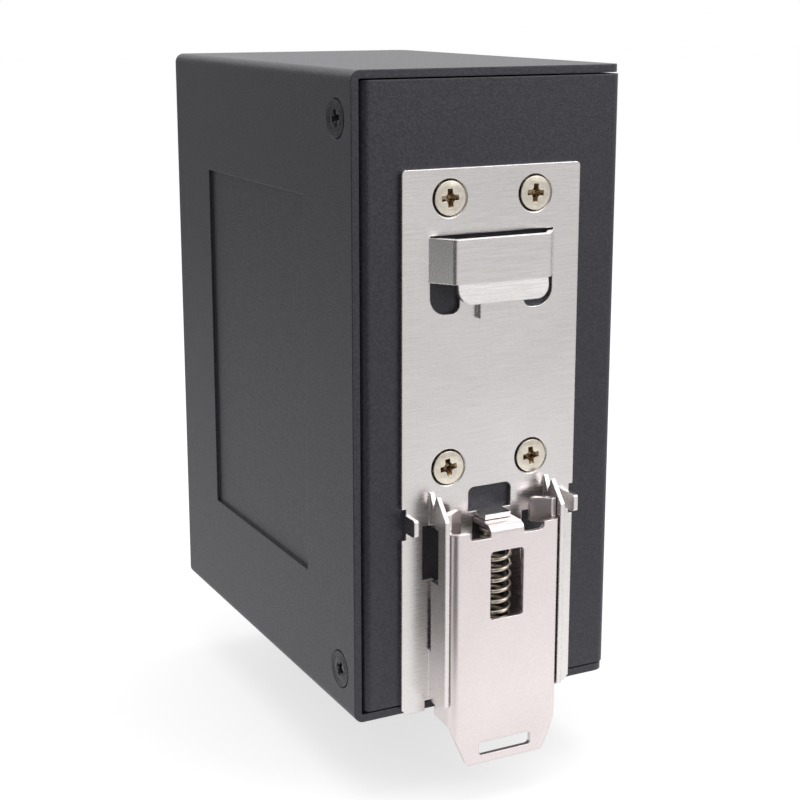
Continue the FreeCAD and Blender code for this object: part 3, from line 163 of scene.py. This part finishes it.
HEAD_SIDES = 64
HEAD_RIM = 0.00015
HEAD_EDGE = 0.00005
WORN_EDGE = 0.00003
RING_PITCH = 0.035
RING_WIDTH = 0.006
RING_CUT = 0.00004
RING_RISE = 0.00003
PUNCH_LEAD = 0.0001
BLADE_TAPER = 0.5
BLADE_DRAFT = 0.62
HEART_SHARE = 0.31
HEART_FOOT = 0.3
HEART_DEPTH = 1.12

COVER_HEAD = 0.0056
COVER_CONE = 0.00147
COVER_SHANK = 0.00276
COVER_LENGTH = 0.0049
COVER_RECESS = (0.0027, 0.0009, 0.0013)
COVER_RINGS = 4


def deselect():
    bpy.ops.object.select_all(action="DESELECT")


def pick_faces(piece, wanted):
    """Select the faces of the piece being edited for which wanted(face) holds."""
    bpy.ops.mesh.select_all(action="DESELECT")
    bpy.ops.object.mode_set(mode="OBJECT")
    for face in piece.data.polygons:
        face.select = wanted(face)
    bpy.ops.object.mode_set(mode="EDIT")


def apply_modifiers(piece):
    """Make every modifier of the piece part of its mesh."""
    deselect()
    piece.select_set(True)
    bpy.context.view_layer.objects.active = piece
    for modifier in list(piece.modifiers):
        bpy.ops.object.modifier_apply(modifier=modifier.name)


def cut_with(piece, tool):
    """Cut the tool's shape out of the piece and drop the tool."""
    boolean = piece.modifiers.new("recess", "BOOLEAN")
    boolean.operation = "DIFFERENCE"
    boolean.solver = "EXACT"
    boolean.object = tool
    apply_modifiers(piece)
    bpy.data.objects.remove(tool)


def recess_blade(length, width, depth, across):
    """One arm of the cross punch: a blade that narrows towards its foot."""
    deselect()
    bpy.ops.mesh.primitive_cube_add(size=1.0, location=(0, 0, PUNCH_LEAD - depth / 2))
    blade = bpy.context.object
    blade.scale = (length, width, depth + 2 * PUNCH_LEAD)
    blade.rotation_euler = (0, 0, math.pi / 2 if across else 0.0)
    bpy.ops.object.transform_apply(location=True, rotation=True, scale=True)
    bpy.ops.object.mode_set(mode="EDIT")
    pick_faces(blade, lambda face: face.normal.z < -0.9)
    taper = (BLADE_DRAFT, BLADE_TAPER, 1.0) if across else (BLADE_TAPER, BLADE_DRAFT, 1.0)
    bpy.ops.transform.resize(value=taper)
    bpy.ops.object.mode_set(mode="OBJECT")
    return blade


def recess_heart(radius, depth):
    """The punch's eight-sided core, which rounds the cross's inner corners."""
    deselect()
    bpy.ops.mesh.primitive_cone_add(
        vertices=8, radius1=radius * HEART_FOOT, radius2=radius, depth=depth + 2 * PUNCH_LEAD,
        location=(0, 0, PUNCH_LEAD - depth / 2), rotation=(0, 0, math.pi / 8))
    heart = bpy.context.object
    bpy.ops.object.transform_apply(location=True, rotation=True, scale=True)
    return heart


def cross_screw(name, head, cone, shank, length, recess, rings):
    """A countersunk screw along Z with its head's top at zero."""
    deselect()
    bpy.ops.mesh.primitive_cylinder_add(vertices=HEAD_SIDES, radius=head / 2, depth=HEAD_RIM,
                                        location=(0, 0, -HEAD_RIM / 2))
    screw = bpy.context.object
    screw.name = name
    bpy.ops.object.transform_apply(location=True, rotation=True, scale=True)
    bpy.ops.object.mode_set(mode="EDIT")
    pick_faces(screw, lambda face: face.normal.z < -0.9)
    bpy.ops.mesh.extrude_region_move(TRANSFORM_OT_translate={"value": (0, 0, -cone)})
    bpy.ops.transform.resize(value=(shank / head, shank / head, 1.0))
    shank_length = length - cone - HEAD_RIM
    bpy.ops.mesh.extrude_region_move(TRANSFORM_OT_translate={"value": (0, 0, -shank_length)})
    pick_faces(screw, lambda face: face.normal.z > 0.9)
    bpy.ops.mesh.bevel(offset=HEAD_EDGE, segments=2)
    for ring in range(rings):
        pick_faces(screw, lambda face: face.normal.z > 0.9 and len(face.vertices) > 8)
        bpy.ops.mesh.inset(thickness=head * RING_PITCH)
        step = RING_RISE if ring % 2 else -RING_CUT
        bpy.ops.mesh.inset(thickness=head * RING_WIDTH, depth=step)
    bpy.ops.object.mode_set(mode="OBJECT")
    across, arm, depth = recess
    cut_with(screw, recess_blade(across, arm, depth, False))
    cut_with(screw, recess_blade(across, arm, depth, True))
    cut_with(screw, recess_heart(across * HEART_SHARE, depth * HEART_DEPTH))
    soften = screw.modifiers.new("worn_edges", "BEVEL")
    soften.width = WORN_EDGE
    soften.segments = 2
    soften.limit_method = "ANGLE"
    soften.angle_limit = math.radians(35)
    apply_modifiers(screw)
    bpy.ops.object.shade_smooth_by_angle(angle=math.radians(28))
    return screw


def set_screws(form, name, spots, tilt):
    """Copy the screw to its places, joined as one piece; each has its own turn."""
    placed = []
    for spot, turn in spots:
        single = form.copy()
        single.data = form.data.copy()
        bpy.context.scene.collection.objects.link(single)
        single.matrix_world = (Matrix.Translation(spot) @ tilt
                               @ Matrix.Rotation(math.radians(turn), 4, "Z"))
        placed.append(single)
    deselect()
    for single in placed:
        single.select_set(True)
    bpy.context.view_layer.objects.active = placed[0]
    bpy.ops.object.transform_apply(location=True, rotation=True, scale=True)
    bpy.ops.object.join()
    bpy.context.object.name = name
    bpy.data.objects.remove(form)
    return bpy.context.object


def mottled_finish(name, color, roughness, metallic, cell, gloss, tones=None, relief=None):
    """A finish whose gloss, tone and relief drift from spot to spot in small cells."""
    material, tree, shader = new_material(name, color, roughness, metallic)
    mottle = object_noise(tree, cell)
    gloss_from(tree, shader, mottle, *gloss)
    if tones is not None:
        color_from(tree, shader, mottle, *tones)
    if relief is not None:
        bump_from(tree, shader, mottle, *relief)
    return material


black_screw = mottled_finish(
    "black_screw", (0.03, 0.03, 0.032), 0.3, 0.75, 1800.0, (0.2, 0.4),
    tones=((0.022, 0.022, 0.024), (0.07, 0.068, 0.07), 0.4, 0.75))

cover_low, cover_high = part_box("cover_screws")
cover_y = (cover_low.y + cover_high.y) / 2
half_head = (cover_high.y - cover_low.y) / 2
cover_tilt = Matrix.Rotation(math.pi / 2, 4, "Y")
cover_form = cross_screw("cover_screw", COVER_HEAD, COVER_CONE, COVER_SHANK, COVER_LENGTH,
                         COVER_RECESS, COVER_RINGS)
cover_form.data.materials.append(black_screw)
cover_screws = set_screws(cover_form, "black_screws", (
    (Vector((cover_high.x, cover_y, cover_high.z - half_head)), 12.0),
    (Vector((cover_high.x, cover_y, cover_low.z + half_head)), -20.0)), cover_tilt)
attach(cover_screws, "case")
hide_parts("cover_screws")

# ------------------------------------------------------- DIN clip and latch
# The plate and the latch are stamped from nickel-plated steel strip. Rolling
# leaves a faint grain along the strip under a satin shine. The plate is screwed
# to the case, and the latch runs between the plate's guide walls.

ROLL_CELLS = 6000.0
CLOUD_CELLS = 45.0
ROLL_SHARE = 0.45
CLOUD_SHARE = 0.55
ROLL_HEIGHT = 0.00002
STAMPED_EDGE = 0.00022


def calculate(tree, operation, *terms):
    """One sum on a pattern; each term is a number or another node's output."""
    step = tree.nodes.new("ShaderNodeMath")
    step.operation = operation
    for socket, term in zip(step.inputs, terms):
        if isinstance(term, float):
            socket.default_value = term
        else:
            tree.links.new(term, socket)
    return step.outputs["Value"]


def strip_steel(name, dark, light, streak, dull, shiny):
    """Plated strip: streaks along the roll, soft clouds of tone, a satin shine."""
    material, tree, shader = new_material(name, light, shiny, 1.0)
    roll = object_noise(tree, ROLL_CELLS, 3.0, streak)
    gloss_from(tree, shader, roll, shiny, dull)
    cloud = calculate(tree, "MULTIPLY", object_noise(tree, CLOUD_CELLS, 3.0), CLOUD_SHARE)
    mixed = calculate(tree, "MULTIPLY_ADD", roll, ROLL_SHARE, cloud)
    color_from(tree, shader, mixed, dark, light, 0.36, 0.64)
    bump_from(tree, shader, roll, 0.2, ROLL_HEIGHT, STAMPED_EDGE)
    return material


plate_steel = strip_steel("plate_steel", (0.77, 0.735, 0.725), (0.90, 0.865, 0.855),
                          (0.03, 1.0, 1.0), 0.34, 0.22)
latch_steel = strip_steel("latch_steel", (0.78, 0.705, 0.705), (0.92, 0.84, 0.835),
                          (0.6, 1.0, 1.0), 0.38, 0.26)
finish_node("din_plate", plate_steel)
finish_node("din_latch", latch_steel)

# ---------------------------------------------------------- plate's screws
# Four countersunk machine screws, cold-formed, nickel-plated with a warm tint.
# Each stands a touch proud in a countersink that is wider than its head.

PLATE_HEAD = 0.0051
PLATE_HEAD_SOLID = 0.0055
PLATE_CONE = 0.00117
PLATE_SHANK = 0.00276
PLATE_LENGTH = 0.0054
PLATE_RECESS = (0.0030, 0.00088, 0.0014)
# Reach and depth of the faces in the cross that get the painted shade.
RECESS_SHADE_REACH = 0.0017
RECESS_SHADE_START = 0.00012

nickel_screw = mottled_finish(
    "nickel_screw", (0.86, 0.79, 0.68), 0.2, 1.0, 1500.0, (0.14, 0.3),
    tones=((0.80, 0.72, 0.60), (0.92, 0.86, 0.76), 0.3, 0.7), relief=(0.1, 0.00002))
# A darker, browner nickel that paints the shade into the screws' cross recesses.
recess_shade_nickel = mottled_finish(
    "recess_shade_nickel", (0.42, 0.31, 0.20), 0.25, 1.0, 2600.0, (0.15, 0.4),
    tones=((0.26, 0.18, 0.11), (0.62, 0.50, 0.36), 0.35, 0.7))


def darken_recess(screw, tone):
    """Paints shade into the cross recess: its sunk faces get the screw's second, darker finish.
    """
    screw.data.materials.append(tone)
    for face in screw.data.polygons:
        sunk = face.center.z < -RECESS_SHADE_START and face.normal.z > -0.6
        if sunk and math.hypot(face.center.x, face.center.y) < RECESS_SHADE_REACH:
            face.material_index = 1


screws_low, screws_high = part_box("plate_screws")
left_x = screws_low.x + PLATE_HEAD_SOLID / 2
right_x = screws_high.x - PLATE_HEAD_SOLID / 2
low_z = screws_low.z + PLATE_HEAD_SOLID / 2
high_z = screws_high.z - PLATE_HEAD_SOLID / 2
plate_tilt = Matrix.Rotation(-math.pi / 2, 4, "X")
plate_form = cross_screw("plate_screw", PLATE_HEAD, PLATE_CONE, PLATE_SHANK, PLATE_LENGTH,
                         PLATE_RECESS, 0)
plate_form.data.materials.append(nickel_screw)
darken_recess(plate_form, recess_shade_nickel)
plate_screws = set_screws(plate_form, "nickel_screws", (
    (Vector((right_x, screws_high.y, high_z)), 3.0),
    (Vector((left_x, screws_high.y, high_z)), -4.0),
    (Vector((right_x, screws_high.y, low_z)), 9.0),
    (Vector((left_x, screws_high.y, low_z)), 5.0)), plate_tilt)
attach(plate_screws, "case")
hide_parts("plate_screws")

# -------------------------------------------------------------- the spring
# A coil spring of drawn wire stands between the plate's seat and the latch's shelf. In the real
# part its foot stays on the seat while its head follows the latch; here the coil is one fixed
# piece on the case.

SPRING_WIRE = 0.0007
SPRING_TURNS = 15.5
CLOSED_TURNS = 1.0
CLOSED_PITCH = SPRING_WIRE * 1.05
STEPS_A_TURN = 28
LATCH_TRAVEL = 0.006

spring_low, spring_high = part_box("latch_spring")
spring_radius = (spring_high.x - spring_low.x - SPRING_WIRE) / 2
spring_x = (spring_low.x + spring_high.x) / 2
spring_y = (spring_low.y + spring_high.y) / 2
spring_foot = spring_low.z + SPRING_WIRE / 2
spring_rise = spring_high.z - spring_low.z - SPRING_WIRE


def coil_height(turn):
    """Height of the wire's middle: closed end turns, open turns between."""
    open_rise = spring_rise - 2 * CLOSED_TURNS * CLOSED_PITCH
    open_pitch = open_rise / (SPRING_TURNS - 2 * CLOSED_TURNS)
    if turn < CLOSED_TURNS:
        return spring_foot + turn * CLOSED_PITCH
    if turn > SPRING_TURNS - CLOSED_TURNS:
        return spring_foot + spring_rise - (SPRING_TURNS - turn) * CLOSED_PITCH
    return spring_foot + CLOSED_TURNS * CLOSED_PITCH + (turn - CLOSED_TURNS) * open_pitch


spring_curve = bpy.data.curves.new("spring_coil", "CURVE")
spring_curve.dimensions = "3D"
spring_curve.bevel_depth = SPRING_WIRE / 2
spring_curve.bevel_resolution = 3
spring_curve.use_fill_caps = True
coil_line = spring_curve.splines.new("POLY")
coil_line.points.add(round(SPRING_TURNS * STEPS_A_TURN))
for step, point in enumerate(coil_line.points):
    turn = step / STEPS_A_TURN
    angle = turn * math.tau
    point.co = (spring_x + spring_radius * math.cos(angle),
                spring_y + spring_radius * math.sin(angle),
                coil_height(turn), 1.0)
coil_object = bpy.data.objects.new("spring_line", spring_curve)
bpy.context.scene.collection.objects.link(coil_object)
coil_mesh = bpy.data.meshes.new_from_object(coil_object)
coil_mesh.shade_smooth()
coil_spring = bpy.data.objects.new("coil_spring", coil_mesh)
bpy.context.scene.collection.objects.link(coil_spring)
bpy.data.objects.remove(coil_object)

coil_mesh.materials.append(mottled_finish(
    "spring_steel", (0.60, 0.54, 0.46), 0.3, 1.0, 1200.0, (0.22, 0.42)))
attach(coil_spring, "case")
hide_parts("latch_spring")
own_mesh(coil_spring)

# ------------------------------------------------- hidden parts' finishes
# The board, jacks, terminal and light guides show only at the front and
# through the sockets. Each keeps its CAD form and gets a plain real finish.


def plain_finish(name, color, roughness, metallic=0.0, cell=900.0, mottling=0.13):
    """A moulded, plated or printed finish: small changes of tone and gloss."""
    dark = [channel * (1 - mottling) for channel in color]
    light = [min(channel * (1 + mottling), 1.0) for channel in color]
    return mottled_finish(
        name, color, roughness, metallic, cell,
        (roughness * 0.85, min(roughness * 1.15, 1.0)),
        tones=(dark, light, 0.3, 0.7), relief=(0.08, 0.00003))


zinc_steel = plain_finish("zinc_steel", (0.62, 0.62, 0.63), 0.35, 1.0)
board_green = plain_finish("board_green", (0.02, 0.13, 0.06), 0.4)
turned_brass = plain_finish("turned_brass", (0.70, 0.52, 0.24), 0.3, 1.0)
jack_plastic = plain_finish("jack_plastic", (0.022, 0.022, 0.024), 0.5)
tinned_sheet = plain_finish("tinned_sheet", (0.74, 0.74, 0.75), 0.30, 1.0, 2200.0, 0.05)
gold_flash = plain_finish("gold_flash", (0.85, 0.63, 0.26), 0.25, 1.0)
terminal_plastic = plain_finish("terminal_plastic", (0.05, 0.30, 0.11), 0.48)
guide_plastic = plain_finish("guide_plastic", (0.78, 0.81, 0.82), 0.2, 0.0, 600.0, 0.04)
chip_epoxy = plain_finish("chip_epoxy", (0.02, 0.02, 0.022), 0.55)
black_anodised = plain_finish("black_anodised", (0.03, 0.03, 0.033), 0.42, 0.7)
can_aluminium = plain_finish("can_aluminium", (0.70, 0.71, 0.73), 0.3, 1.0)
for node_name, material in (
        ("clinch_nuts", zinc_steel), ("board_screws", zinc_steel),
        ("terminal_screws", zinc_steel), ("circuit_board", board_green),
        ("board_standoffs", turned_brass), ("jack_housing", jack_plastic),
        ("jack_shield", tinned_sheet), ("jack_contacts", gold_flash),
        ("terminal_header", terminal_plastic), ("terminal_plug", terminal_plastic),
        ("light_pipes", guide_plastic), ("switch_chip", chip_epoxy),
        ("magnetics", chip_epoxy), ("power_inductor", chip_epoxy),
        ("heat_sink", black_anodised), ("capacitors", can_aluminium),
        ("clock_crystal", can_aluminium)):
    finish_node(node_name, material)

# ---------------------------------------------------- stand, light, camera
# A pale floor, low enough for the latch to be pulled right down, a white room,
# two soft boxes, and a camera behind and to the left, a little above the middle.
# Matt boards out of view give the bright metal something darker to mirror.

FLOOR_WIDTH = 6.0
FLOOR_GAP = 0.0004
FLOOR_GREY = 0.45
FLOOR_GLOW = 0.66
GLOW_REACH = 0.055
GLOW_CORE = 0.02
ROOM_LIGHT = 0.7
WHITE = (1.0, 1.0, 1.0, 1.0)
MATT_SPECULAR = 0.1

floor_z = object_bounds()[0].z - LATCH_TRAVEL - FLOOR_GAP
deselect()
bpy.ops.mesh.primitive_plane_add(size=FLOOR_WIDTH, location=(0, 0, floor_z))
floor = bpy.context.object
floor.name = "floor"
bpy.ops.object.transform_apply(location=True, rotation=True, scale=True)
floor_material, floor_tree, floor_shader = new_material("floor_white", (FLOOR_GREY,) * 3, 0.95)
floor_shader.inputs["Specular IOR Level"].default_value = MATT_SPECULAR
floor.data.materials.append(floor_material)


def ray_kinds(tree):
    """One for the camera's own rays, and one for mirror-like and see-through ones."""
    path = tree.nodes.new("ShaderNodeLightPath")
    mirrored = calculate(tree, "MAXIMUM", path.outputs["Is Glossy Ray"],
                         path.outputs["Is Transmission Ray"])
    return path.outputs["Is Camera Ray"], mirrored


# The floor's own grey takes the shadow, and a glow tops it up to white. In
# mirror-like surfaces the glow fades with distance, as light on a table does.
floor_seen, floor_mirrored = ray_kinds(floor_tree)
floor_place = floor_tree.nodes.new("ShaderNodeTexCoord")
floor_reach = floor_tree.nodes.new("ShaderNodeVectorMath")
floor_reach.operation = "LENGTH"
floor_tree.links.new(floor_place.outputs["Object"], floor_reach.inputs[0])
faded_reach = calculate(floor_tree, "ADD", floor_reach.outputs["Value"], GLOW_CORE)
mirror_glow = calculate(floor_tree, "DIVIDE", GLOW_REACH, faded_reach)
mirror_share = calculate(floor_tree, "MULTIPLY", mirror_glow, floor_mirrored)
whole_glow = calculate(floor_tree, "MULTIPLY_ADD", floor_seen, FLOOR_GLOW, mirror_share)
floor_shader.inputs["Emission Color"].default_value = WHITE
floor_tree.links.new(whole_glow, floor_shader.inputs["Emission Strength"])

world = bpy.data.worlds.new("studio")
bpy.context.scene.world = world
world.use_nodes = True
room = world.node_tree.nodes["Background"]
room.inputs["Color"].default_value = WHITE
room_seen = calculate(world.node_tree, "MAXIMUM", *ray_kinds(world.node_tree))
world.node_tree.links.new(range_of(world.node_tree, room_seen, ROOM_LIGHT, 1.0),
                          room.inputs["Strength"])


def facing(place, target):
    """The turn that points a thing's underside at a spot."""
    return (Vector(target) - Vector(place)).to_track_quat("-Z", "Y").to_euler()


def soft_box(name, place, target, size, power):
    """A large soft area lamp, aimed at a spot."""
    lamp = bpy.data.lights.new(name, "AREA")
    lamp.shape = "RECTANGLE"
    lamp.size, lamp.size_y = size
    lamp.energy = power
    holder = bpy.data.objects.new(name, lamp)
    bpy.context.scene.collection.objects.link(holder)
    holder.location = place
    holder.rotation_euler = facing(place, target)


soft_box("key_box", (-0.35, 0.45, 0.35), (0, 0, 0), (0.35, 0.35), 1.2)
soft_box("top_box", (0.0, -0.05, 0.6), (0, -0.03, 0), (0.5, 0.5), 1.5)


def matt_board(name, place, turn, size, tone):
    """A matt board that only mirror-like surfaces see; it takes no other light."""
    deselect()
    bpy.ops.mesh.primitive_plane_add(size=1.0, location=place, rotation=turn)
    board = bpy.context.object
    board.name = name
    board.scale = (*size, 1.0)
    board.visible_camera = False
    board.visible_diffuse = False
    board.visible_shadow = False
    material, _tree, shader = new_material(name, (tone, tone, tone), 0.9)
    shader.inputs["Specular IOR Level"].default_value = MATT_SPECULAR
    board.data.materials.append(material)


for name, place, target, size, tone in (
        ("side_flag", (0.42, 0.10, 0.03), (0, 0, 0), (0.55, 0.5), 0.12),
        ("front_flag", (0.22, -0.42, 0.02), (0.02, -0.03, 0.03), (0.5, 0.34), 0.45),
        ("back_board", (-0.20, 0.62, 0.12), (0, 0, 0), (1.4, 0.5), 0.95),
        ("lens_card", (0.120, 0.190, 0.07), (0.03, 0, 0.07), (0.22, 0.34), 0.12)):
    matt_board(name, place, facing(place, target), size, tone)
matt_board("table_card", (0.085, 0.135, floor_z + 0.001), (0, 0, math.radians(-27)),
           (0.10, 0.20), 0.08)

CAMERA_PLACE = (0.1186, 0.2019, 0.0583)
CAMERA_TURN = math.radians(152.93)
CAMERA_HEIGHT = math.radians(12.58)
camera_data = bpy.data.cameras.new("camera")
camera_data.lens = 71.7
camera_data.shift_y = -0.06
camera_data.sensor_width = 36.0
camera_data.clip_start = 0.01
camera_data.clip_end = 20.0
camera = bpy.data.objects.new("camera", camera_data)
bpy.context.scene.collection.objects.link(camera)
camera.location = CAMERA_PLACE
back = Vector((math.sin(CAMERA_TURN) * math.cos(CAMERA_HEIGHT),
               -math.cos(CAMERA_TURN) * math.cos(CAMERA_HEIGHT),
               math.sin(CAMERA_HEIGHT)))
camera.rotation_euler = (-back).to_track_quat("-Z", "Y").to_euler()
bpy.context.scene.camera = camera
bpy.context.scene.view_settings.view_transform = "Standard"
